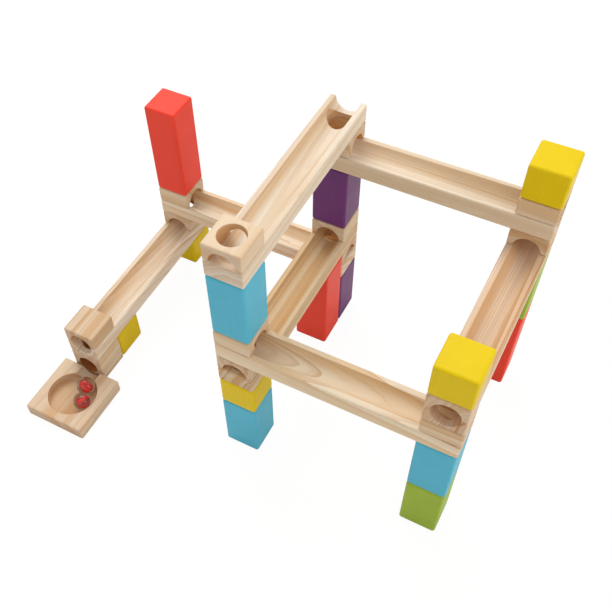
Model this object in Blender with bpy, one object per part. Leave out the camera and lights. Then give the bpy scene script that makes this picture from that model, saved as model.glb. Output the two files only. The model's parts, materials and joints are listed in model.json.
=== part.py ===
"""A wooden marble run, stacked from loose blocks and grooved tracks.

Six towers stand on a square grid. The marble starts on the highest track and drops one level at the end of each
track, so that seven tracks wind down from tower to tower and the last one empties into a tray. Every level is one
unit high: a track and the block that lies on it. Metres, +Z up, origin at the middle of the footprint, on the floor.
"""

import math

import bmesh
import bpy
from mathutils import Matrix, Vector

# Driving sizes
BLOCK_SIDE = 0.030
TRACK_LENGTH = 0.188
TRACK_THICKNESS = 0.015
TUNNEL_BLOCK_HEIGHT = 0.015
GROOVE_RADIUS = 0.0105
GROOVE_START_DEPTH = 0.006
GROOVE_EXIT_DEPTH = 0.011
GROOVE_END_WALL = 0.0035
TUNNEL_RADIUS = 0.0105
DROP_HOLE_DIAMETER = 0.020
EXIT_BORE_DIAMETER = 0.019
TRAY_SIDE = 0.058
TRAY_THICKNESS = 0.013
TRAY_OFFSET = 0.0045
TRAY_CLEARANCE = 0.0015
RECESS_DIAMETER = 0.043
RECESS_DEPTH = 0.0085
CHANNEL_WIDTH = 0.019
MARBLE_DIAMETER = 0.016
EDGE_ROUND = 0.0015
PAINTED_EDGE_ROUND = 0.0022
MOUTH_CHAMFER = 0.0004
GAP = 0.0003

# What follows from them
UNIT = TRACK_THICKNESS + TUNNEL_BLOCK_HEIGHT
REACH = TRACK_LENGTH - BLOCK_SIDE
HALF_SIDE = BLOCK_SIDE / 2
EXIT_HEIGHT = UNIT

TOWERS = {
    "front_left": Vector((0, 0, 0)),
    "front_right": Vector((REACH, 0, 0)),
    "back_middle": Vector((0, REACH, 0)),
    "back_right": Vector((REACH, REACH, 0)),
    "far_left": Vector((-REACH, REACH, 0)),
    "tray_end": Vector((-REACH, 0, 0)),
    "track_5_prop": Vector((0, REACH - BLOCK_SIDE - GAP, 0)),
    "track_7_prop": Vector((-REACH, BLOCK_SIDE + GAP, 0)),
}

# The towers in the order that the marble visits them
PATH = (
    "front_left",
    "back_middle",
    "back_right",
    "front_right",
    "front_left",
    "back_middle",
    "far_left",
    "tray_end",
)
TOP_LEVEL = len(PATH) - 1

# Painted blocks: their height in units
BLOCK_UNITS = {"yellow": 1, "blue": 2, "green": 2, "purple": 2, "red": 3}

# Each column: its tower, the level it starts at, and its blocks from the bottom up
COLUMNS = (
    ("front_left", 0, (("blue", "low"), ("yellow", "low"))),
    ("front_left", 5, (("blue", "high"),)),
    ("front_right", 0, (("green", "low"), ("blue", "low"))),
    ("front_right", 6, (("yellow", "cap"),)),
    ("back_middle", 0, (("purple", "low"),)),
    ("back_middle", 4, (("purple", "high"),)),
    ("back_right", 0, (("red", "low"), ("green", "low"))),
    ("back_right", 7, (("yellow", "cap"),)),
    ("far_left", 0, (("yellow", "low"),)),
    ("far_left", 3, (("red", "cap"),)),
    ("track_5_prop", 0, (("red", ""),)),
    ("track_7_prop", 0, (("yellow", ""),)),
)

# The middle of the footprint, which the origin stands on
TRAY_MIDDLE = TOWERS["tray_end"] + Vector((TRAY_OFFSET, -HALF_SIDE - TRAY_CLEARANCE - TRAY_SIDE / 2, 0))
LEFT = min(TRAY_MIDDLE.x - TRAY_SIDE / 2, -REACH - HALF_SIDE)
RIGHT = REACH + HALF_SIDE
FRONT = TRAY_MIDDLE.y - TRAY_SIDE / 2
BACK = REACH + HALF_SIDE
FOOTPRINT_MIDDLE = Vector(((LEFT + RIGHT) / 2, (FRONT + BACK) / 2, 0))

# Where the front marble lies, as a turn about the recess from its right
MARBLE_TURN = math.radians(-12)

# How finely round shapes are faceted
ROUND_SEGMENTS = 32
EDGE_SEGMENTS = 3
BALL_RINGS = 12
NOSE_RINGS = 5
SHARP_ANGLE = math.radians(35)


def make_paint(name, colour, roughness):
    """A matt or satin finish in one colour."""
    material = bpy.data.materials.new(name)
    material.use_nodes = True
    shader = material.node_tree.nodes["Principled BSDF"]
    shader.inputs["Base Color"].default_value = (*colour, 1)
    shader.inputs["Roughness"].default_value = roughness
    shader.inputs["Metallic"].default_value = 0
    material.diffuse_color = (*colour, 1)
    return material


def add_object(name, builder, material, place):
    """A new object from a finished bmesh, at a place measured from the front left tower's foot."""
    mesh = bpy.data.meshes.new(name)
    bmesh.ops.recalc_face_normals(builder, faces=builder.faces)
    builder.to_mesh(mesh)
    builder.free()
    mesh.shade_smooth()
    mesh.set_sharp_from_angle(angle=SHARP_ANGLE)
    obj = bpy.data.objects.new(name, mesh)
    bpy.context.scene.collection.objects.link(obj)
    if material:
        mesh.materials.append(material)
    obj.location = place - FOOTPRINT_MIDDLE
    return obj


def rounded_box(size, radius=EDGE_ROUND):
    """A box with rounded edges, standing on the middle of its base."""
    builder = bmesh.new()
    bmesh.ops.create_cube(builder, size=1)
    bmesh.ops.scale(builder, vec=size, verts=builder.verts)
    bmesh.ops.translate(builder, vec=(0, 0, size[2] / 2), verts=builder.verts)
    bmesh.ops.bevel(
        builder,
        geom=list(builder.edges),
        offset=radius,
        segments=EDGE_SEGMENTS,
        profile=0.5,
        affect="EDGES",
    )
    return builder


def turned(profile):
    """A solid turned about Z from (radius, height) points, lowest first."""
    builder = bmesh.new()
    rings = []
    for radius, height in profile:
        if radius == 0:
            rings.append([builder.verts.new((0, 0, height))])
            continue
        ring = []
        for step in range(ROUND_SEGMENTS):
            turn = 2 * math.pi * (step + 0.5) / ROUND_SEGMENTS
            ring.append(builder.verts.new((radius * math.cos(turn), radius * math.sin(turn), height)))
        rings.append(ring)
    for low, high in zip(rings, rings[1:]):
        for step in range(ROUND_SEGMENTS):
            after = (step + 1) % ROUND_SEGMENTS
            if len(low) == 1:
                builder.faces.new((low[0], high[after], high[step]))
            elif len(high) == 1:
                builder.faces.new((low[step], low[after], high[0]))
            else:
                builder.faces.new((low[step], low[after], high[after], high[step]))
    if len(rings[0]) > 1:
        builder.faces.new(list(reversed(rings[0])))
    if len(rings[-1]) > 1:
        builder.faces.new(rings[-1])
    return builder


def flared_bore(radius, length):
    """A cutter for a hole of this length: it flares just enough at each mouth to break the edge."""
    flare = 3 * MOUTH_CHAMFER
    return turned(
        (
            (radius + flare, -flare + MOUTH_CHAMFER),
            (radius, MOUTH_CHAMFER),
            (radius, length - MOUTH_CHAMFER),
            (radius + flare, length + flare - MOUTH_CHAMFER),
        )
    )


def blind_bore(radius, depth):
    """A cutter for a blind hole, its mouth at the top, with the edge broken."""
    flare = 3 * MOUTH_CHAMFER
    mouth = (radius + flare, depth + flare - MOUTH_CHAMFER)
    return turned(((radius, 0), (radius, depth - MOUTH_CHAMFER), mouth))


def ball(radius, rings=BALL_RINGS):
    """A sphere about the origin."""
    angles = [math.pi * step / rings - math.pi / 2 for step in range(1, rings)]
    middle = [(radius * math.cos(angle), radius * math.sin(angle)) for angle in angles]
    return turned([(0, -radius), *middle, (0, radius)])


def round_nosed_rod(radius, length, rings=NOSE_RINGS):
    """A rod along +Z with half a ball for its lower end, whose middle is the origin."""
    angles = [math.pi / 2 * step / rings for step in range(rings)]
    nose = [(radius * math.sin(angle), -radius * math.cos(angle)) for angle in angles]
    return turned([*nose, (radius, 0), (radius, length)])


def cut(obj, name, builder, transform=None):
    """Takes a shape, given in the object's own space, out of the object."""
    if transform is not None:
        bmesh.ops.transform(builder, matrix=transform, verts=builder.verts)
    cutter = add_object(f"{obj.name}_{name}", builder, None, FOOTPRINT_MIDDLE)
    cutter.parent = obj
    cutter.hide_render = True
    cutter.display_type = "WIRE"
    modifier = obj.modifiers.new(name, "BOOLEAN")
    modifier.operation = "DIFFERENCE"
    modifier.solver = "EXACT"
    modifier.object = cutter


def along_y(height):
    """Lays a shape that runs up Z along +Y instead, at this height."""
    return Matrix.Translation((0, -HALF_SIDE, height)) @ Matrix.Rotation(-math.pi / 2, 4, "X")


def heading(start, end):
    """The turn about Z that points +Y from one tower to another."""
    run = TOWERS[end] - TOWERS[start]
    return math.atan2(-run.x, run.y)


def add_track(number, material):
    """A grooved track: closed over its first tower, open and with a drop hole over its second one.

    In its own space it starts at the middle of the first tower and runs along +Y.
    """
    start, end = PATH[number - 1 : number + 1]
    place = TOWERS[start] + Vector((0, 0, (TOP_LEVEL + 1 - number) * UNIT))
    body = rounded_box((BLOCK_SIDE, TRACK_LENGTH, TRACK_THICKNESS - GAP))
    bmesh.ops.translate(body, vec=(0, TRACK_LENGTH / 2 - HALF_SIDE, 0), verts=body.verts)
    track = add_object(f"track_{number}", body, material, place)
    track.rotation_euler.z = heading(start, end)

    top = TRACK_THICKNESS - GAP
    nose = Vector((0, GROOVE_END_WALL + GROOVE_RADIUS - HALF_SIDE, top + GROOVE_RADIUS - GROOVE_START_DEPTH))
    mouth = Vector((0, REACH + HALF_SIDE, top + GROOVE_RADIUS - GROOVE_EXIT_DEPTH))
    slope = math.atan2(mouth.z - nose.z, mouth.y - nose.y)
    rod_length = (mouth - nose).length + BLOCK_SIDE
    rod = round_nosed_rod(GROOVE_RADIUS, rod_length)
    lay_down = Matrix.Rotation(slope - math.pi / 2, 4, "X")
    cut(track, "groove", rod, Matrix.Translation(nose) @ lay_down)
    cut(track, "drop_hole", flared_bore(DROP_HOLE_DIAMETER / 2, top), Matrix.Translation((0, REACH, 0)))
    return track


def add_tunnel_block(name, tower, level, track, material, has_hole):
    """A block with a half-round tunnel under it, lying on a track's end and in line with that track."""
    height = TUNNEL_BLOCK_HEIGHT - GAP
    place = TOWERS[tower] + Vector((0, 0, level * UNIT + TRACK_THICKNESS))
    block = add_object(name, rounded_box((BLOCK_SIDE, BLOCK_SIDE, height)), material, place)
    block.rotation_euler.z = heading(*PATH[track - 1 : track + 1])
    cut(block, "tunnel", flared_bore(TUNNEL_RADIUS, BLOCK_SIDE), along_y(0))
    if has_hole:
        cut(block, "drop_hole", flared_bore(DROP_HOLE_DIAMETER / 2, height))
    return block


def add_exit_block(material):
    """The cube that ends the run: a bore from its top meets one that leaves through its front."""
    recess_floor = TRAY_THICKNESS - RECESS_DEPTH
    bore_radius = EXIT_BORE_DIAMETER / 2
    bore_height = recess_floor + bore_radius
    block = add_object(
        "exit_block",
        rounded_box((BLOCK_SIDE, BLOCK_SIDE, EXIT_HEIGHT - GAP)),
        material,
        TOWERS["tray_end"],
    )
    down = blind_bore(DROP_HOLE_DIAMETER / 2, EXIT_HEIGHT - GAP - bore_height)
    cut(block, "drop_hole", down, Matrix.Translation((0, 0, bore_height)))
    out = round_nosed_rod(bore_radius, BLOCK_SIDE)
    cut(block, "way_out", out, Matrix.Translation((0, 0, bore_height)) @ Matrix.Rotation(math.pi / 2, 4, "X"))
    return block


def add_tray(material):
    """The tray: a round recess, and a channel into it from the exit block."""
    tray = add_object("tray", rounded_box((TRAY_SIDE, TRAY_SIDE, TRAY_THICKNESS)), material, TRAY_MIDDLE)
    recess_floor = TRAY_THICKNESS - RECESS_DEPTH
    radius = RECESS_DIAMETER / 2
    cut(tray, "recess", blind_bore(radius, RECESS_DEPTH), Matrix.Translation((0, 0, recess_floor)))
    channel_radius = CHANNEL_WIDTH / 2
    lay_back = Matrix.Rotation(-math.pi / 2, 4, "X")
    channel_height = recess_floor + channel_radius
    channel = turned(((channel_radius, 0), (channel_radius, TRAY_SIDE)))
    cut(tray, "channel", channel, Matrix.Translation((0, radius / 2, channel_height + GAP)) @ lay_back)
    return tray


def add_marbles(material):
    """Two marbles in the tray, touching each other and the right of the recess wall."""
    radius = MARBLE_DIAMETER / 2
    furthest = RECESS_DIAMETER / 2 - radius - GAP
    spacing = MARBLE_DIAMETER + GAP
    turn_between = 2 * math.asin(spacing / 2 / furthest)
    floor = TRAY_THICKNESS - RECESS_DEPTH + GAP
    for name, turn in (("marble_front", MARBLE_TURN), ("marble_back", MARBLE_TURN + turn_between)):
        place = TRAY_MIDDLE + Vector((furthest * math.cos(turn), furthest * math.sin(turn), floor + radius))
        add_object(name, ball(radius), material, place)


def add_columns(paints):
    """The painted blocks of every tower, and the two props."""
    for tower, level, blocks in COLUMNS:
        height = level * UNIT
        for colour, where in blocks:
            block_height = BLOCK_UNITS[colour] * UNIT
            name = "_".join(filter(None, (tower, colour, where)))
            size = (BLOCK_SIDE, BLOCK_SIDE, block_height - GAP)
            body = rounded_box(size, PAINTED_EDGE_ROUND)
            add_object(name, body, paints[colour], TOWERS[tower] + Vector((0, 0, height)))
            height += block_height


def build():
    for obj in list(bpy.data.objects):
        bpy.data.objects.remove(obj)
    pine = make_paint("pine", (0.80, 0.60, 0.38), 0.55)
    glass = make_paint("marble_glass", (0.55, 0.05, 0.03), 0.05)
    paints = {
        "yellow": make_paint("yellow_paint", (0.85, 0.58, 0.01), 0.4),
        "blue": make_paint("blue_paint", (0.09, 0.37, 0.53), 0.4),
        "green": make_paint("green_paint", (0.25, 0.36, 0.04), 0.4),
        "purple": make_paint("purple_paint", (0.12, 0.03, 0.13), 0.4),
        "red": make_paint("red_paint", (0.70, 0.06, 0.03), 0.4),
    }
    for number in range(1, TOP_LEVEL + 1):
        add_track(number, pine)
        level = TOP_LEVEL + 1 - number
        kind = "start_block" if number == 1 else f"drop_block_{number}"
        add_tunnel_block(kind, PATH[number - 1], level, number, pine, True)
        if number > 1:
            add_tunnel_block(f"bridge_block_{number}", PATH[number], level, number, pine, False)
    add_exit_block(pine)
    add_columns(paints)
    add_tray(pine)
    add_marbles(glass)


build()
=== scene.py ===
"""The looks of the wooden marble run: fine shapes, pine, paint and glass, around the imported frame.

Every piece of the frame gets a fine shape of the same size. It is modelled in its own space, with its
base at height 0 and its grain along +Y, and then turned and placed where the frame has it. A block's
origin is the middle of its base. A track's is under the block on its start, and it runs from there
along +Y.
"""

import json
import math

import bmesh
import bpy
from mathutils import Matrix, Vector


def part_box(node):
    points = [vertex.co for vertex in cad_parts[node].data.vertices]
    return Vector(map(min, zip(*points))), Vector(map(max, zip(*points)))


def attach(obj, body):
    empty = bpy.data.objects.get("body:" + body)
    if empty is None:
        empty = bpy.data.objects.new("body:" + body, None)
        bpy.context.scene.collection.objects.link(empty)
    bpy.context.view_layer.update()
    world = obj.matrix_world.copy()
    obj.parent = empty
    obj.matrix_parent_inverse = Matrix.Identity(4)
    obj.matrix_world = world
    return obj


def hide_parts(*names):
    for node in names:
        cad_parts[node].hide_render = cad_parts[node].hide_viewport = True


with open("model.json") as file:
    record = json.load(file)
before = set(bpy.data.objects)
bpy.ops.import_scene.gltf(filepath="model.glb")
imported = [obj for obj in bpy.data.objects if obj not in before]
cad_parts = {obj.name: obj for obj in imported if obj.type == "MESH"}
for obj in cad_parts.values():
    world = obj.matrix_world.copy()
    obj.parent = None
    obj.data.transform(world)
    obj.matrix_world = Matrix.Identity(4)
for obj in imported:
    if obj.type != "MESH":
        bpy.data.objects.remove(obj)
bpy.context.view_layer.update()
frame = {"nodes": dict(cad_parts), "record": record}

# Sizes of the cuts, in metres
GROOVE_RADIUS = 0.0105
GROOVE_START_DEPTH = 0.006
GROOVE_EXIT_DEPTH = 0.011
GROOVE_END_WALL = 0.0035
TUNNEL_RADIUS = 0.0105
DROP_HOLE_RADIUS = 0.010
EXIT_BORE_RADIUS = 0.0095
RECESS_RADIUS = 0.0215
RECESS_DEPTH = 0.0085
RECESS_CORNER = 0.0008
CHANNEL_RADIUS = 0.0095
GAP = 0.0003

# How finely the surfaces are made
EDGE_ROUND = 0.0015
PAINTED_EDGE_ROUND = 0.0022
EDGE_SEGMENTS = 6
LIP = 0.0005
LIP_STEPS = 4
LIP_LAST_ANGLE = math.radians(12)
LIP_CLEAR = 0.00001
BEYOND = 0.0004
ROUND_SEGMENTS = 96
SECTION_STEPS = 28
GROOVE_STATIONS = 30
SHARP_ANGLE = math.radians(32)

MM = 0.001


# ---------------------------------------------------------------- shapes


def rounded_box(low, high, radius=EDGE_ROUND):
    """A box between two corners, with rounded edges."""
    builder = bmesh.new()
    bmesh.ops.create_cube(builder, size=1)
    bmesh.ops.scale(builder, vec=high - low, verts=builder.verts)
    bmesh.ops.translate(builder, vec=(high + low) / 2, verts=builder.verts)
    bmesh.ops.bevel(
        builder,
        geom=list(builder.edges),
        offset=radius,
        segments=EDGE_SEGMENTS,
        profile=0.5,
        affect="EDGES",
    )
    return builder


def turned(profile, segments=ROUND_SEGMENTS):
    """A solid turned about Z from (radius, height) points, lowest first."""
    builder = bmesh.new()
    rings = []
    for radius, height in profile:
        if radius == 0:
            rings.append([builder.verts.new((0, 0, height))])
            continue
        ring = []
        for step in range(segments):
            turn = 2 * math.pi * (step + 0.5) / segments
            ring.append(builder.verts.new((radius * math.cos(turn), radius * math.sin(turn), height)))
        rings.append(ring)
    for low, high in zip(rings, rings[1:]):
        for step in range(segments):
            after = (step + 1) % segments
            if len(low) == 1:
                builder.faces.new((low[0], high[after], high[step]))
            elif len(high) == 1:
                builder.faces.new((low[step], low[after], high[0]))
            else:
                builder.faces.new((low[step], low[after], high[after], high[step]))
    if len(rings[0]) > 1:
        builder.faces.new(list(reversed(rings[0])))
    if len(rings[-1]) > 1:
        builder.faces.new(rings[-1])
    return builder


def mouth(radius, face_height):
    """The (radius, height) points where a bore opens through a face above it, its edge rounded over."""
    centre = face_height - LIP * math.cos(LIP_LAST_ANGLE) + LIP_CLEAR
    points = []
    for step in range(LIP_STEPS + 1):
        angle = math.pi / 2 + (LIP_LAST_ANGLE - math.pi / 2) * step / LIP_STEPS
        points.append((radius + LIP - LIP * math.sin(angle), centre + LIP * math.cos(angle)))
    last_radius, last_height = points[-1]
    points.append((last_radius + BEYOND, last_height + BEYOND * math.tan(LIP_LAST_ANGLE)))
    return points


def through_bore(radius, length):
    """A cutter for a hole right through, both its mouths rounded over."""
    top = mouth(radius, length)
    bottom = [(width, length - height) for width, height in reversed(top)]
    return turned(bottom + top)


def blind_bore(radius, depth):
    """A cutter for a flat-floored blind hole, its mouth rounded over."""
    return turned([(radius, 0), *mouth(radius, depth)])


def round_nosed_bore(radius, length):
    """A cutter for a blind hole with half a ball for its floor, whose middle is the origin."""
    steps = SECTION_STEPS // 2
    angles = [math.pi / 2 * step / steps for step in range(steps)]
    nose = [(radius * math.sin(angle), -radius * math.cos(angle)) for angle in angles]
    return turned([*nose, (radius, 0), *mouth(radius, length)])


def recess(radius, depth):
    """A cutter for the flat-floored recess, with a small round where the wall meets the floor."""
    corner = [
        (
            radius - RECESS_CORNER * (1 - math.sin(math.pi / 2 * step / LIP_STEPS)),
            RECESS_CORNER * (1 - math.cos(math.pi / 2 * step / LIP_STEPS)),
        )
        for step in range(LIP_STEPS + 1)
    ]
    return turned([*corner, *mouth(radius, depth)])


def half_section(radius, depth):
    """Half of a groove's outline below a face at height 0, from its bottom out over the rounded lip."""
    centre = radius - depth
    lip_height = LIP_CLEAR - LIP * math.cos(LIP_LAST_ANGLE)
    rise = centre - lip_height
    lip_middle = math.sqrt((radius + LIP) ** 2 - rise**2)
    meeting = math.atan2(lip_middle, rise)
    points = []
    for step in range(SECTION_STEPS + 1):
        angle = meeting * step / SECTION_STEPS
        points.append((radius * math.sin(angle), centre - radius * math.cos(angle)))
    for step in range(1, LIP_STEPS + 1):
        angle = meeting + (LIP_LAST_ANGLE - meeting) * step / LIP_STEPS
        points.append((lip_middle - LIP * math.sin(angle), lip_height + LIP * math.cos(angle)))
    outside = points[-1][0] + BEYOND
    points.append((outside, points[-1][1] + BEYOND * math.tan(LIP_LAST_ANGLE)))
    points.append((outside, radius / 2))
    return points


def groove(stations, round_start):
    """A cutter for a groove along +Y in a face at height 0, from (y, radius, depth) stations.

    A round start is half a bowl that the first station's outline is turned into.
    """
    builder = bmesh.new()
    sides = []
    for y, radius, depth in stations:
        outline = half_section(radius, depth)
        bottom = builder.verts.new((0, y, outline[0][1]))
        right = [bottom] + [builder.verts.new((x, y, z)) for x, z in outline[1:]]
        left = [bottom] + [builder.verts.new((-x, y, z)) for x, z in outline[1:]]
        sides.append((right, left))
    for near, far in zip(sides, sides[1:]):
        for side in (0, 1):
            for low in range(len(near[side]) - 1):
                corners = (near[side][low], far[side][low], far[side][low + 1], near[side][low + 1])
                builder.faces.new(corners)
    fans = [sides[0][0]]
    if round_start:
        y, radius, depth = stations[0]
        outline = half_section(radius, depth)
        turns = SECTION_STEPS * 2
        for step in range(1, turns):
            angle = -math.pi * step / turns
            across, along = math.cos(angle), math.sin(angle)
            fan = [builder.verts.new((x * across, y + x * along, z)) for x, z in outline[1:]]
            fans.append([sides[0][0][0], *fan])
        fans.append(sides[0][1])
        for near, far in zip(fans, fans[1:]):
            builder.faces.new((near[0], near[1], far[1]))
            for low in range(1, len(near) - 1):
                builder.faces.new((near[low], near[low + 1], far[low + 1], far[low]))
    else:
        fans.append(sides[0][1])
        builder.faces.new([*reversed(sides[0][0]), *sides[0][1][1:]])
    builder.faces.new([*reversed(sides[-1][0]), *sides[-1][1][1:]])
    lid = [right[-1] for right, left in reversed(sides)]
    lid += [fan[-1] for fan in fans[1:-1]]
    lid += [left[-1] for right, left in sides]
    builder.faces.new(lid)
    return builder


def add_mesh_object(name, builder):
    """A new smooth object from a finished bmesh."""
    mesh = bpy.data.meshes.new(name)
    bmesh.ops.recalc_face_normals(builder, faces=builder.faces)
    builder.to_mesh(mesh)
    builder.free()
    obj = bpy.data.objects.new(name, mesh)
    bpy.context.scene.collection.objects.link(obj)
    return obj


def carved(name, block, cutters):
    """An object made from one bmesh with others taken out of it, its flat faces kept flat when shaded."""
    obj = add_mesh_object(name, block)
    tools = [add_mesh_object(f"{name}_cut", cutter) for cutter in cutters]
    for tool in tools:
        cut = obj.modifiers.new("cut", "BOOLEAN")
        cut.operation = "DIFFERENCE"
        cut.solver = "EXACT"
        cut.object = tool
    graph = bpy.context.evaluated_depsgraph_get()
    rough = obj.data
    obj.data = bpy.data.meshes.new_from_object(obj.evaluated_get(graph))
    obj.modifiers.clear()
    bpy.data.meshes.remove(rough)
    for tool in tools:
        mesh = tool.data
        bpy.data.objects.remove(tool)
        bpy.data.meshes.remove(mesh)
    obj.data.name = name
    obj.data.shade_smooth()
    obj.data.set_sharp_from_angle(angle=SHARP_ANGLE)
    flat = obj.modifiers.new("flat_faces", "WEIGHTED_NORMAL")
    flat.keep_sharp = True
    return obj


def laid_along_y(builder, start, height):
    """Lays a cutter that runs up Z along +Y instead, from this start and at this height."""
    turn = Matrix.Translation((0, start, height)) @ Matrix.Rotation(-math.pi / 2, 4, "X")
    bmesh.ops.transform(builder, matrix=turn, verts=builder.verts)
    return builder


def moved(builder, offset):
    bmesh.ops.translate(builder, vec=offset, verts=builder.verts)
    return builder


# ---------------------------------------------------------------- places


def own_space(node, direction=Vector((0, 1, 0)), foot=None):
    """A node's place, with its own +Y pointing this way, and the low and high corners of its box there."""
    low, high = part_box(node)
    middle = (low + high) / 2
    foot = Vector((middle.x, middle.y, low.z)) if foot is None else Vector((foot.x, foot.y, low.z))
    place = Matrix.Translation(foot) @ Matrix.Rotation(math.atan2(-direction.x, direction.y), 4, "Z")
    back = place.inverted()
    corners = [back @ low, back @ high]
    own_low = Vector(map(min, *corners))
    own_high = Vector(map(max, *corners))
    return place, own_low, own_high


def middle_of(node):
    low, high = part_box(node)
    return (low + high) / 2


def start_name(number):
    """The block on the start of this track."""
    return "start_block" if number == 1 else f"drop_block_{number}"


def run_of(number):
    """The direction that a track runs in, from the block on its start."""
    along = middle_of(f"track_{number}") - middle_of(start_name(number))
    return Vector((round(along.x, 3), round(along.y, 3), 0)).normalized()


BODY_OF = {
    node: body for body, nodes in frame["record"]["behaviour"]["bodies"].items() for node in nodes
}


def settle(obj, node, place, material):
    """Puts a finished piece where the frame has its node, and hands it over to the node's body."""
    obj.data.materials.clear()
    obj.data.materials.append(material)
    obj.matrix_world = place
    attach(obj, BODY_OF[node])
    return obj


# ---------------------------------------------------------------- material tools


class Shade:
    """A value inside a material. Arithmetic on it adds Math nodes."""

    def __init__(self, finish, socket):
        self.finish = finish
        self.socket = socket

    def math(self, operation, *others):
        return self.finish.add("ShaderNodeMath", {"operation": operation}, dict(enumerate((self, *others))))

    def __add__(self, other):
        return self.math("ADD", other)

    __radd__ = __add__

    def __sub__(self, other):
        return self.math("SUBTRACT", other)

    def __rsub__(self, other):
        return (self * -1) + other

    def __mul__(self, other):
        return self.math("MULTIPLY", other)

    __rmul__ = __mul__

    def __truediv__(self, other):
        return self.math("DIVIDE", other)

    def __pow__(self, other):
        return self.math("POWER", other)

    def __abs__(self):
        return self.math("ABSOLUTE")

    def clamped(self):
        return self.finish.add("ShaderNodeClamp", {}, {"Value": self})


class Finish:
    """A material under construction, around one Principled shader."""

    def __init__(self, name):
        self.material = bpy.data.materials.new(name)
        self.material.use_nodes = True
        self.nodes = self.material.node_tree.nodes
        self.links = self.material.node_tree.links
        self.shader = self.nodes["Principled BSDF"]

    def plug(self, node, inputs):
        for key, value in inputs.items():
            if isinstance(value, Shade):
                self.links.new(value.socket, node.inputs[key])
            else:
                node.inputs[key].default_value = value

    def add(self, kind, settings=None, inputs=None, output=0):
        """Any node: its settings first, a ramp's stops among them, then its sockets."""
        node = self.nodes.new(kind)
        for key, value in (settings or {}).items():
            if key == "stops":
                self.set_stops(node.color_ramp, value)
            else:
                setattr(node, key, value)
        self.plug(node, inputs or {})
        return Shade(self, node.outputs[output])

    def set_stops(self, ramp, stops):
        ramp.interpolation = "EASE"
        for place, value in stops:
            stop = ramp.elements.new(place)
            stop.color = (value, value, value, 1)
        ramp.elements.remove(ramp.elements[0])
        ramp.elements.remove(ramp.elements[-1])

    def ramp(self, value, *stops):
        """A value read through (place, height) stops."""
        return self.add("ShaderNodeValToRGB", {"stops": stops}, {"Fac": value})

    def noise(self, place, scale, detail=2.0, roughness=0.5):
        inputs = {"Vector": place, "Scale": scale, "Detail": detail, "Roughness": roughness}
        return self.add("ShaderNodeTexNoise", {}, inputs)

    def noise_along(self, value, detail=2.0):
        """Noise that only varies with one value."""
        inputs = {"W": value, "Scale": 1.0, "Detail": detail}
        return self.add("ShaderNodeTexNoise", {"noise_dimensions": "1D"}, inputs)

    def vector(self, operation, first, second, output=0):
        return self.add("ShaderNodeVectorMath", {"operation": operation}, {0: first, 1: second}, output)

    def mix(self, factor, first, second, blend="MIX"):
        """Two colours mixed."""
        settings = {"data_type": "RGBA", "blend_type": blend}
        return self.add("ShaderNodeMix", settings, {0: factor, 6: first, 7: second}, 2)

    def split(self, vector):
        """The X, Y and Z of a vector."""
        return [self.add("ShaderNodeSeparateXYZ", {}, {0: vector}, axis) for axis in range(3)]

    def finish(self, **sockets):
        self.plug(self.shader, {key.replace("_", " "): value for key, value in sockets.items()})
        return self.material


def near_edge(finish, place, low, high, band):
    """1 along the edges of a block between two corners, falling to 0 a band's width inside its faces."""
    depths = []
    for axis, along in enumerate(finish.split(place)):
        half = (high[axis] - low[axis]) / 2
        depths.append(half - abs(along - (high[axis] + low[axis]) / 2))
    first, second, third = depths
    least = first.math("MINIMUM", second)
    inner = least.math("MAXIMUM", first.math("MAXIMUM", second).math("MINIMUM", third))
    return (1 - inner / band).clamped()


# ---------------------------------------------------------------- pine

# Colours of the wood, and tints that its colour is multiplied by; those for bores, holes, the recess and
# the trough are painted shade in the hollows
PINE_PALE = (0.745, 0.645, 0.515, 1)
PINE_TAN = (0.66, 0.475, 0.295, 1)
PINE_LATE = (0.48, 0.26, 0.11, 1)
PINE_RESIN = (0.36, 0.19, 0.08, 1)
END_GRAIN_TINT = (0.90, 0.87, 0.90, 1)
# Painted shade inside tunnels, warm like light bounced round a hollow, together with the cut wood's own
# warmer colour
BORE_CUT_AND_SHADE_TINT = (0.97, 0.70, 0.42, 1)
# Painted shade inside drop holes, together with the cut wood's own warmer colour
HOLE_CUT_AND_SHADE_TINT = (0.97, 0.79, 0.60, 1)
# Painted shade over the tray's recess
RECESS_PAINTED_SHADE = (0.98, 0.89, 0.77, 1)
# Painted shade on the steep walls of a track's groove, warm like light bounced round the groove
TROUGH_PAINTED_SHADE = (0.98, 0.89, 0.77, 1)
# Deep painted shade inside the exit block's outlet bore
DARK_BORE_PAINTED_SHADE = (0.62, 0.30, 0.14, 1)
HANDLED_TINT = (0.80, 0.70, 0.58, 1)

# The growth rings: how far they stray from circles, and how the years differ, in millimetres
WANDER_SCALE = 42
WANDER_REACH = 8
SWAY_SCALE = 190
SWAY_REACH = 1.4
YEARS_PER_MM = 0.16
YEARS_REACH = 2.2
WEAKEST_RING = 0.18
BANDS_PER_MM = 0.11
BAND_SHIFT = 7.3

# How much longer each kind of mark is along the grain than across it, and how fine it is
RING_STRETCH = (1, 0.07, 1)
FIBRE_STRETCH = (1, 0.025, 1)
DRIFT_SCALE = 60
FIBRE_SCALE = 1500
RESIN_SCALE = 800
PORE_SCALE = 2600
HANDLED_SCALE = 350

# How strongly each kind of mark shows
STREAK_SHARE = 0.13
RESIN_SHARE = 0.35
END_GRAIN_SHARE = 0.75
PORE_SHARE = 0.16
HANDLED_SHARE = 0.4
HANDLED_BAND = 1.3 * MM
BORE_RIM = 0.3 * MM
WOOD_SHEEN = 0.15


def bore_wall(finish, place, axis, centre, radius):
    """1 on the wall of a bore along this axis (0, 1 or 2) through the centre, and 0 away from it."""
    across = Vector([0 if turn == axis else 1 for turn in range(3)])
    away = finish.vector("MULTIPLY", finish.vector("SUBTRACT", place, centre), across)
    distance = finish.vector("LENGTH", away, (0, 0, 0), "Value")
    return ((radius + BORE_RIM - distance) / BORE_RIM).clamped()


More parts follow.
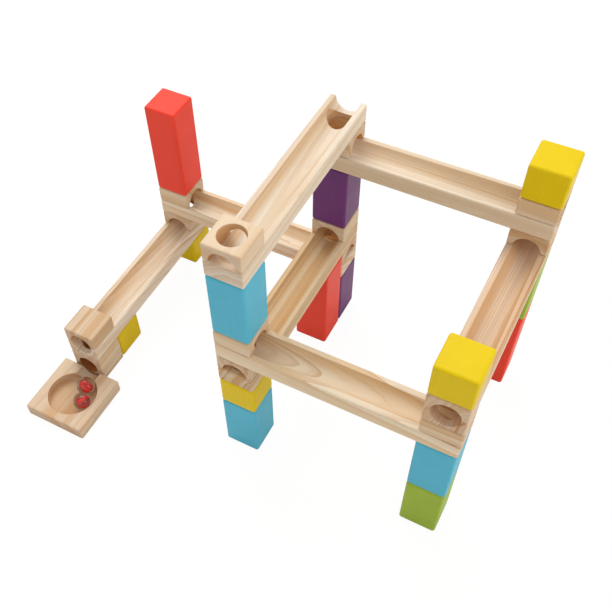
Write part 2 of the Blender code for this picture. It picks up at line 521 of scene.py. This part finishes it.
def pine(name, low, high, seed, bores, grain, trough=False):
    """Sanded pine, its grain along Y: growth rings, broad bands, fibres, resin and end grain.

    Bores are (axis, centre, radius, tint), each tint painted shade on the bore's wall, for tunnels and
    holes together with the cut wood's warmer colour; a trough is the groove along a track's top, whose
    steep walls get painted shade.
    """
    pith, tilt = grain["pith"], grain["tilt"]
    finish = Finish(name)
    place = finish.add("ShaderNodeTexCoord", {}, {}, "Object")
    shift = finish.vector("ADD", place, (0.37 * seed, 0.71 * seed, 0.53 * seed))
    stretched = finish.vector("MULTIPLY", shift, RING_STRETCH)
    fibre_place = finish.vector("MULTIPLY", shift, FIBRE_STRETCH)

    across, along, up = [axis / MM for axis in finish.split(place)]
    wander = finish.noise(stretched, WANDER_SCALE, 1.0) - 0.5
    sway = finish.noise(stretched, SWAY_SCALE, 1.0) - 0.5
    from_pith_x = across - pith[0] - along * tilt[0]
    from_pith_z = up - pith[1] - along * tilt[1]
    out = (from_pith_x**2 + from_pith_z**2) ** 0.5 + wander * WANDER_REACH + sway * SWAY_REACH
    good_years = finish.noise_along(out * YEARS_PER_MM + seed)
    rings = out / grain["spacing"] + good_years * YEARS_REACH
    within = rings.math("FRACT")
    late = finish.ramp(within, (0.0, 0.0), (0.30, 0.04), (0.78, 0.50), (0.90, 1.0), (1.0, 0.0))
    ring_number = rings.math("FLOOR") + seed
    each = finish.add("ShaderNodeTexWhiteNoise", {"noise_dimensions": "1D"}, {"W": ring_number})
    strength = WEAKEST_RING + (1 - WEAKEST_RING) * each**1.6
    drift = finish.ramp(finish.noise(stretched, DRIFT_SCALE, 1.0), (0.32, 0.45), (0.68, 1.0))
    clouds = finish.noise_along(out * BANDS_PER_MM + BAND_SHIFT * seed, 1.0)
    broad = finish.ramp(clouds, (0.40, 0.0), (0.64, 1.0))
    fibres = finish.noise(fibre_place, FIBRE_SCALE, 3.0, 0.6)
    streaks = finish.ramp(fibres, (0.36, 0.0), (0.5, 0.4), (0.68, 1.0))
    resin = finish.ramp(finish.noise(fibre_place, RESIN_SCALE, 1.0), (0.72, 0.0), (0.79, 1.0))

    facing = finish.add("ShaderNodeTexCoord", {}, {}, "Normal")
    end_grain = finish.ramp(abs(finish.split(facing)[1]), (0.55, 0.0), (0.95, 1.0))
    pores = finish.ramp(finish.noise(shift, PORE_SCALE, 2.0, 0.6), (0.42, 0.0), (0.66, 1.0))
    figure = (late * strength * drift * grain["lines"] * (1 + 0.7 * end_grain)).clamped()
    colour = finish.mix(broad * grain["bands"], PINE_PALE, PINE_TAN)
    colour = finish.mix(figure, colour, PINE_LATE)
    colour = finish.mix(STREAK_SHARE * streaks * (1 - end_grain), colour, PINE_LATE)
    colour = finish.mix(resin * RESIN_SHARE * (1 - end_grain), colour, PINE_RESIN)
    colour = finish.mix(end_grain * END_GRAIN_SHARE, colour, END_GRAIN_TINT, "MULTIPLY")
    colour = finish.mix(end_grain * pores * PORE_SHARE, colour, PINE_LATE)
    # Each bore's wall is multiplied by its tint: painted shade in the hollow
    for axis, centre, radius, tint in bores:
        wall = bore_wall(finish, place, axis, centre, radius)
        colour = finish.mix(wall, colour, tint, "MULTIPLY")
    # Painted shade on the groove's steep walls, where the groove lies in shade
    if trough:
        hollow = bore_wall(finish, place, 1, (0, 0, high.z), GROOVE_RADIUS)
        steep_wall_shade = finish.ramp(abs(finish.split(facing)[0]), (0.30, 0.0), (0.80, 1.0))
        colour = finish.mix(hollow * steep_wall_shade, colour, TROUGH_PAINTED_SHADE, "MULTIPLY")
    patches = finish.ramp(finish.noise(shift, HANDLED_SCALE, 2.0), (0.4, 0.0), (0.65, 1.0))
    handled = near_edge(finish, place, low, high, HANDLED_BAND) * patches
    colour = finish.mix(handled * HANDLED_SHARE, colour, HANDLED_TINT, "MULTIPLY")
    colour = finish.mix(1.0, colour, (*grain["tone"], 1), "MULTIPLY")
    rough = 0.58 - 0.12 * figure + 0.10 * (streaks - 0.5) + 0.08 * end_grain
    height = figure * 0.5 + streaks * 0.35 + pores * end_grain * 0.4
    bump = {"Strength": 0.22, "Distance": 0.12 * MM, "Height": height}
    normal = finish.add("ShaderNodeBump", {}, bump)
    finish.plug(finish.shader, {"Specular IOR Level": WOOD_SHEEN})
    return finish.finish(Base_Color=colour, Roughness=rough, Normal=normal)


# ---------------------------------------------------------------- paint

PAINT_GRAIN_STRETCH = (1, 1, 0.04)
PAINT_GRAIN_SCALE = 900
CLOUD_SCALE = 60
SPECKLE_SCALE = 2600
# The lighter edges: worn paint together with a painted highlight on the rounding
WEAR_AND_HIGHLIGHT_SCALE = 420
WEAR_AND_HIGHLIGHT_BAND = 1.6 * MM
GRAIN_SHARE = 0.40
WEAR_AND_HIGHLIGHT_SHARE = 0.40
PAINT_SHEEN = 0.15


def scaled(colour, share):
    """A colour made this much lighter or darker, no channel past white."""
    return (*(min(1, value * share) for value in colour), 1)


def paint(name, colour, low, high, seed):
    """Satin paint: the upright grain shows faintly through it, and it is lighter along the edges, as paint
    worn thin and as a painted highlight on their rounding.
    """
    finish = Finish(name)
    place = finish.add("ShaderNodeTexCoord", {}, {}, "Object")
    shift = finish.vector("ADD", place, (0.41 * seed, 0.67 * seed, 0.29 * seed))
    upright = finish.vector("MULTIPLY", shift, PAINT_GRAIN_STRETCH)
    grain = finish.noise(upright, PAINT_GRAIN_SCALE, 3.0, 0.6)
    lines = finish.ramp(grain, (0.38, 0.0), (0.52, 0.35), (0.66, 1.0))
    cloud = finish.noise(shift, CLOUD_SCALE, 2.0)
    speckle = finish.noise(shift, SPECKLE_SCALE, 2.0)
    patches = finish.ramp(finish.noise(shift, WEAR_AND_HIGHLIGHT_SCALE, 3.0, 0.6), (0.38, 0.25), (0.62, 1.0))
    # Lighter along the edges: paint worn thin there, together with a painted highlight on the rounded edges
    wear_and_highlight = near_edge(finish, place, low, high, WEAR_AND_HIGHLIGHT_BAND) * patches
    shade = finish.mix(cloud, scaled(colour, 1.05), scaled(colour, 0.92))
    shade = finish.mix(lines * GRAIN_SHARE, shade, scaled(colour, 1.10))
    shade = finish.mix(wear_and_highlight * WEAR_AND_HIGHLIGHT_SHARE, shade, scaled(colour, 1.28))
    rough = 0.34 + 0.10 * cloud + 0.06 * lines + 0.08 * wear_and_highlight
    height = lines * 0.55 + speckle * 0.45
    bump = {"Strength": 0.14, "Distance": 0.10 * MM, "Height": height}
    normal = finish.add("ShaderNodeBump", {}, bump)
    finish.plug(finish.shader, {"Specular IOR Level": PAINT_SHEEN})
    return finish.finish(Base_Color=shade, Roughness=rough, Normal=normal)


# ---------------------------------------------------------------- tracks and blocks


def groove_stations(length, start):
    """The track's groove: deeper towards its open end, where its mouth is rounded over."""
    first = start + GROOVE_END_WALL + GROOVE_RADIUS
    last = start + length
    stations = []
    for step in range(GROOVE_STATIONS + 1):
        y = first + (last - LIP - first) * step / GROOVE_STATIONS
        share = (y - first) / (last - first)
        depth = GROOVE_START_DEPTH + (GROOVE_EXIT_DEPTH - GROOVE_START_DEPTH) * share
        stations.append((y, GROOVE_RADIUS, depth))
    for step in range(1, LIP_STEPS + 1):
        angle = (math.pi / 2 - LIP_LAST_ANGLE) * step / LIP_STEPS
        wider = LIP * (1 - math.cos(angle))
        y = last - LIP + LIP * math.sin(angle) / math.cos(LIP_LAST_ANGLE) + LIP_CLEAR * step
        stations.append((y, GROOVE_RADIUS + wider, GROOVE_EXIT_DEPTH + wider))
    stations.append((last + LIP, GROOVE_RADIUS + 2 * LIP, GROOVE_EXIT_DEPTH + 2 * LIP))
    return stations


def track(number, grain):
    node = f"track_{number}"
    direction = run_of(number)
    place, low, high = own_space(node, direction, middle_of(start_name(number)))
    exit_y = high.y + low.y
    bore = moved(through_bore(DROP_HOLE_RADIUS, high.z), (0, exit_y, 0))
    trough = moved(groove(groove_stations(high.y - low.y, low.y), True), (0, 0, high.z))
    obj = carved(f"{node}_fine", rounded_box(low, high), [trough, bore])
    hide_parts(node)
    bores = [(2, (0, exit_y, 0), DROP_HOLE_RADIUS, HOLE_CUT_AND_SHADE_TINT)]
    material = pine(f"pine_{node}", low, high, number, bores, grain, trough=True)
    return settle(obj, node, place, material)


def tunnel_block(node, number, has_hole, seed):
    place, low, high = own_space(node, run_of(number))
    cutters = [laid_along_y(through_bore(TUNNEL_RADIUS, high.y - low.y), low.y, 0)]
    bores = [(1, (0, 0, 0), TUNNEL_RADIUS, BORE_CUT_AND_SHADE_TINT)]
    if has_hole:
        cutters.append(through_bore(DROP_HOLE_RADIUS, high.z))
        bores.append((2, (0, 0, 0), DROP_HOLE_RADIUS, HOLE_CUT_AND_SHADE_TINT))
    obj = carved(f"{node}_fine", rounded_box(low, high), cutters)
    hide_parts(node)
    material = pine(f"pine_{node}", low, high, seed, bores, block_grain(node, seed))
    return settle(obj, node, place, material)


def exit_block(seed):
    place, low, high = own_space("exit_block")
    recess_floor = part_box("tray")[1].z - RECESS_DEPTH
    bore_height = recess_floor + EXIT_BORE_RADIUS
    down = moved(blind_bore(DROP_HOLE_RADIUS, high.z - bore_height), (0, 0, bore_height))
    out = round_nosed_bore(EXIT_BORE_RADIUS, -low.y)
    bmesh.ops.transform(
        out,
        matrix=Matrix.Translation((0, 0, bore_height)) @ Matrix.Rotation(math.pi / 2, 4, "X"),
        verts=out.verts,
    )
    obj = carved("exit_block_fine", rounded_box(low, high), [down, out])
    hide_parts("exit_block")
    bores = [
        (2, (0, 0, 0), DROP_HOLE_RADIUS, BORE_CUT_AND_SHADE_TINT),
        # The outlet bore gets deep painted shade
        (1, (0, 0, bore_height), EXIT_BORE_RADIUS, DARK_BORE_PAINTED_SHADE),
    ]
    grain = block_grain("exit_block", seed)
    material = pine("pine_exit_block", low, high, seed, bores, grain)
    return settle(obj, "exit_block", place, material)


def tray(seed, grain):
    place, low, high = own_space("tray")
    hollow = moved(recess(RECESS_RADIUS, RECESS_DEPTH), (0, 0, high.z - RECESS_DEPTH))
    depth = RECESS_DEPTH - GAP
    stations = [(RECESS_RADIUS / 2, CHANNEL_RADIUS, depth), (high.y - LIP, CHANNEL_RADIUS, depth)]
    stations += [(high.y + LIP, CHANNEL_RADIUS + LIP, depth + LIP)]
    channel = moved(groove(stations, False), (0, 0, high.z))
    obj = carved("tray_fine", rounded_box(low, high), [hollow, channel])
    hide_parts("tray")
    # The recess gets painted shade
    bores = [(2, (0, 0, 0), RECESS_RADIUS, RECESS_PAINTED_SHADE)]
    material = pine("pine_tray", low, high, seed, bores, grain)
    return settle(obj, "tray", place, material)


def painted_block(node, colour_name, seed):
    place, low, high = own_space(node)
    obj = carved(f"{node}_fine", rounded_box(low, high, PAINTED_EDGE_ROUND), [])
    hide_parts(node)
    material = paint(f"{colour_name}_{node}", PAINTS[colour_name], low, high, seed)
    return settle(obj, node, place, material)


# ---------------------------------------------------------------- marbles

VANES = 3
VANE_TWIST = math.radians(60)
VANE_STEPS = 24
VANE_ACROSS = 10
VANE_THICKNESS = 0.17
VANE_REACH = 0.53
VANE_HEIGHT = 0.54
VANE_TIP = 0.04
# Grey-brown glass colours: painted shade for the dim wood seen through the ball; the second one also marks
# the smears
CLEAR_GLASS_PAINTED_SHADE = (0.68, 0.62, 0.56, 1)
SMEARED_GLASS_PAINTED_SHADE = (0.64, 0.58, 0.52, 1)
GLASS_SHADE = (0.62, 0.59, 0.56, 1)
GLASS_IOR = 1.5
SWIRL_RED = (0.86, 0.022, 0.012, 1)
SWIRL_BROWN = (0.50, 0.03, 0.015, 1)
# A painted glow: the vanes give off a little red light, as if lit through the glass
SWIRL_PAINTED_GLOW = 0.12
FRONT_SWIRL_TURN = Matrix.Rotation(math.radians(60), 3, "X") @ Matrix.Rotation(0.6, 3, "Z")
BACK_SWIRL_TURN = Matrix.Rotation(math.radians(-40), 3, "Y") @ Matrix.Rotation(2.0, 3, "Z")


def glass(name, seed):
    """Clear glass with the faintest smears on it, tinted grey-brown as painted shade for the dim wood seen
    through it, which lets the light of a lamp through to its inside.
    """
    finish = Finish(name)
    place = finish.add("ShaderNodeTexCoord", {}, {}, "Object")
    shift = finish.vector("ADD", place, (0.31 * seed, 0.57 * seed, 0.43 * seed))
    smear = finish.ramp(finish.noise(shift, 260, 3.0, 0.6), (0.45, 0.0), (0.7, 1.0))
    # The glass colour is painted shade, varied by the smears
    colour = finish.mix(smear, CLEAR_GLASS_PAINTED_SHADE, SMEARED_GLASS_PAINTED_SHADE)
    finish.plug(finish.shader, {"Transmission Weight": 1.0, "IOR": GLASS_IOR})
    finish.finish(Base_Color=colour, Roughness=0.01 + 0.03 * smear)
    to_lamp = finish.add("ShaderNodeLightPath", {}, {}, "Is Shadow Ray")
    clear = finish.add("ShaderNodeBsdfTransparent", {}, {"Color": GLASS_SHADE})
    surface = Shade(finish, finish.shader.outputs["BSDF"])
    both = finish.add("ShaderNodeMixShader", {}, {0: to_lamp, 1: surface, 2: clear})
    finish.links.new(both.socket, finish.nodes["Material Output"].inputs["Surface"])
    return finish.material


def swirl_colour(name, seed):
    """The coloured vanes inside the glass: red, with browner streaks along them, and a faint painted glow
    that stands in for the light reaching them through the glass.
    """
    finish = Finish(name)
    place = finish.add("ShaderNodeTexCoord", {}, {}, "Object")
    shift = finish.vector("ADD", place, (0.83 * seed, 0.19 * seed, 0.47 * seed))
    streak = finish.noise(finish.vector("MULTIPLY", shift, (1, 1, 0.3)), 160, 1.0, 0.5)
    browner = finish.ramp(streak, (0.45, 0.0), (0.66, 1.0))
    colour = finish.mix(browner, SWIRL_RED, SWIRL_BROWN)
    # Painted light: the vanes glow faintly
    finish.plug(finish.shader, {"Emission Strength": SWIRL_PAINTED_GLOW})
    return finish.finish(Base_Color=colour, Emission_Color=colour, Roughness=0.25 + 0.1 * streak)


def swirl(radius):
    """Vanes that twist about Z inside the marble, thickest at their middle."""
    builder = bmesh.new()
    for vane in range(VANES):
        start = 2 * math.pi * vane / VANES
        grid = []
        for step in range(VANE_STEPS + 1):
            height = radius * VANE_HEIGHT * math.cos(math.pi * step / VANE_STEPS)
            share = VANE_TIP + (1 - 2 * VANE_TIP) * step / VANE_STEPS
            reach = radius * VANE_REACH * math.sin(math.pi * share)
            turn = start + VANE_TWIST * step / VANE_STEPS
            outward = Vector((math.cos(turn), math.sin(turn), 0))
            sideways = Vector((-math.sin(turn), math.cos(turn), 0))
            middle = Vector((0, 0, height))
            ring = []
            for point in range(2 * VANE_ACROSS):
                angle = math.pi * point / VANE_ACROSS
                along = reach * (0.5 - 0.5 * math.cos(angle))
                thick = radius * VANE_THICKNESS * math.sin(angle)
                ring.append(builder.verts.new(outward * along + sideways * thick + middle))
            grid.append(ring)
        for near, far in zip(grid, grid[1:]):
            for point in range(2 * VANE_ACROSS):
                after = (point + 1) % (2 * VANE_ACROSS)
                builder.faces.new((near[point], near[after], far[after], far[point]))
        builder.faces.new(grid[0])
        builder.faces.new(list(reversed(grid[-1])))
    return builder


def marble(node, seed, turn):
    """A glass ball and the swirl inside it."""
    low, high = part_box(node)
    centre = (low + high) / 2
    radius = (high.x - low.x) / 2
    rings = ROUND_SEGMENTS // 2
    angles = [math.pi * step / rings - math.pi / 2 for step in range(1, rings)]
    middle = [(radius * math.cos(angle), radius * math.sin(angle)) for angle in angles]
    ball = add_mesh_object(f"{node}_glass", turned([(0, -radius), *middle, (0, radius)]))
    ball.data.shade_smooth()
    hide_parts(node)
    settle(ball, node, Matrix.Translation(centre), glass(f"{node}_glass", seed))
    core = add_mesh_object(f"{node}_swirl", swirl(radius))
    core.data.shade_smooth()
    place = Matrix.Translation(centre) @ turn.to_4x4()
    settle(core, node, place, swirl_colour(f"{node}_swirl", seed))


# ---------------------------------------------------------------- the whole run

PAINTS = {
    "yellow": (0.70, 0.51, 0.002),
    "blue": (0.085, 0.44, 0.62),
    "green": (0.31, 0.44, 0.04),
    "purple": (0.14, 0.036, 0.16),
    "red": (0.80, 0.055, 0.030),
}


def cut_of(pith, tilt, spacing, lines, bands, tone):
    """How a piece lies in the log.

    The pith's place and the rings' spacing are in millimetres, and the tilt is the pith's slope along
    the piece. Lines and bands say how strongly they show. The tone sets the piece's colour against the
    others.
    """
    return {
        "pith": pith,
        "tilt": tilt,
        "spacing": spacing,
        "lines": lines,
        "bands": bands,
        "tone": tone,
    }


BLOCK_TONE = (0.95, 0.88, 0.80)
TRACK_GRAIN = {
    1: cut_of((9, -26), (0.02, 0.03), 5.0, 0.50, 0.6, (1, 1.03, 1.08)),
    2: cut_of((-44, 20), (0.01, 0.02), 2.8, 0.75, 0.7, (1, 1.03, 1.08)),
    3: cut_of((-60, -6), (0.02, 0.0), 4.2, 1.0, 0.8, (0.96, 0.88, 0.85)),
    4: cut_of((3, -24), (0.01, 0.09), 4.0, 1.0, 0.9, (1.06, 1.05, 1.02)),
    5: cut_of((52, -14), (0.01, 0.01), 2.7, 1.3, 1.0, (0.92, 0.85, 0.72)),
    6: cut_of((-30, -28), (0.02, 0.02), 3.4, 0.7, 0.7, (1.07, 1.07, 1.05)),
    7: cut_of((-62, -14), (0.12, 0.02), 8.5, 1.0, 0.6, (1.06, 1.08, 1.12)),
}
TRAY_GRAIN = cut_of((-35, -30), (0.02, 0.02), 6.0, 0.55, 0.9, (0.89, 0.80, 0.73))
BLOCK_GRAIN = {
    "start_block": cut_of((-20, -38), (0.02, 0.02), 6.0, 0.4, 0.5, BLOCK_TONE),
    "drop_block_5": cut_of((4, 11), (0.02, 0.02), 3.4, 1.7, 0.5, BLOCK_TONE),
    "bridge_block_3": cut_of((-16, 3), (0.02, 0.02), 4.6, 0.9, 0.7, BLOCK_TONE),
    "bridge_block_7": cut_of((-55, 6), (0.0, 0.02), 8.0, 0.6, 1.0, (0.88, 0.80, 0.73)),
}

# Each piece's seed sets its place in the wood's noise
START_SEED = 20
BRIDGE_SEED = 40
EXIT_SEED = 61
TRAY_SEED = 62


def block_grain(node, seed):
    """Another cut of the board for each block."""
    if node in BLOCK_GRAIN:
        return BLOCK_GRAIN[node]
    turn = seed * 2.4
    reach = 34 + 10 * math.sin(seed * 5.1)
    pith = (reach * math.cos(turn), 7 + reach * math.sin(turn))
    tilt = (0.05 * math.sin(seed), 0.05 * math.cos(seed))
    spacing = 4.2 + 0.9 * math.sin(seed * 3.3)
    return cut_of(pith, tilt, spacing, 0.75, 0.7 + 0.3 * math.sin(seed * 1.7), BLOCK_TONE)


def build_run():
    for number, grain in TRACK_GRAIN.items():
        track(number, grain)
        tunnel_block(start_name(number), number, True, START_SEED + number)
        if number > 1:
            tunnel_block(f"bridge_block_{number}", number, False, BRIDGE_SEED + number)
    exit_block(EXIT_SEED)
    tray(TRAY_SEED, TRAY_GRAIN)
    for seed, node in enumerate(sorted(frame["nodes"])):
        for colour in PAINTS:
            if colour in node.split("_"):
                painted_block(node, colour, seed)
    marble("marble_front", 1, FRONT_SWIRL_TURN)
    marble("marble_back", 2, BACK_SWIRL_TURN)


# ---------------------------------------------------------------- stage, light and camera

FLOOR_SIDE = 6.0
FLOOR_DROP = 0.0002
FLOOR_WHITE = (0.77, 0.76, 0.73, 1)
FLOOR_GLOW = 1.03
FLOOR_GLOW_SHARE = 0.92
SURROUNDING_LIGHT = (0.69, 0.67, 0.63, 1)
WHITE = (1, 1, 1, 1)
LIGHT_AIM = Vector((0, 0, 0.1))
CAMERA_PLACE = (0.20526, -0.34563, 0.60743)
CAMERA_TURN = (35.7603, 1.8868, 28.4394)
CAMERA_LENS = 47.931
CAMERA_SENSOR = 36
CAMERA_SHIFT = (0.0608, 0.0772)


def stage_floor():
    """A plain white floor that keeps only the softest shadow."""
    bpy.ops.mesh.primitive_plane_add(size=FLOOR_SIDE, location=(0, 0, -FLOOR_DROP))
    floor = bpy.context.object
    floor.name = "floor"
    finish = Finish("floor_white")
    seen = finish.add("ShaderNodeLightPath", {}, {}, "Is Camera Ray")
    matt = finish.add("ShaderNodeBsdfDiffuse", {}, {"Color": FLOOR_WHITE})
    glow = finish.add("ShaderNodeEmission", {}, {"Color": WHITE, "Strength": FLOOR_GLOW})
    mixed = finish.add("ShaderNodeMixShader", {}, {0: seen * FLOOR_GLOW_SHARE, 1: matt, 2: glow})
    finish.links.new(mixed.socket, finish.nodes["Material Output"].inputs["Surface"])
    floor.data.materials.append(finish.material)


def white_surroundings():
    """White all round, warmer and dimmer as a light than as a backdrop."""
    world = bpy.data.worlds.new("surroundings")
    world.use_nodes = True
    nodes, links = world.node_tree.nodes, world.node_tree.links
    seen = nodes.new("ShaderNodeLightPath")
    colour = nodes.new("ShaderNodeMix")
    colour.data_type = "RGBA"
    colour.inputs[6].default_value = SURROUNDING_LIGHT
    colour.inputs[7].default_value = WHITE
    links.new(seen.outputs["Is Camera Ray"], colour.inputs[0])
    links.new(colour.outputs[2], nodes["Background"].inputs["Color"])
    bpy.context.scene.world = world


def soft_light(name, place, side, power):
    """A square soft box aimed at the middle of the run."""
    lamp = bpy.data.lights.new(name, "AREA")
    lamp.size = side
    lamp.energy = power
    obj = bpy.data.objects.new(name, lamp)
    bpy.context.scene.collection.objects.link(obj)
    obj.location = place
    obj.rotation_euler = (LIGHT_AIM - Vector(place)).to_track_quat("-Z", "Y").to_euler()


def camera():
    lens = bpy.data.cameras.new("camera")
    lens.lens = CAMERA_LENS
    lens.sensor_width = CAMERA_SENSOR
    lens.shift_x, lens.shift_y = CAMERA_SHIFT
    obj = bpy.data.objects.new("camera", lens)
    obj.location = CAMERA_PLACE
    obj.rotation_euler = [math.radians(angle) for angle in CAMERA_TURN]
    bpy.context.scene.collection.objects.link(obj)
    bpy.context.scene.camera = obj


camera()
stage_floor()
white_surroundings()
soft_light("key_light", (-0.7, 0.9, 1.7), 1.3, 25)
soft_light("side_light", (1.5, 0.1, 0.9), 1.2, 9)
soft_light("front_light", (-0.2, -1.7, 0.9), 1.6, 2)
bpy.context.scene.view_settings.view_transform = "Standard"
build_run()
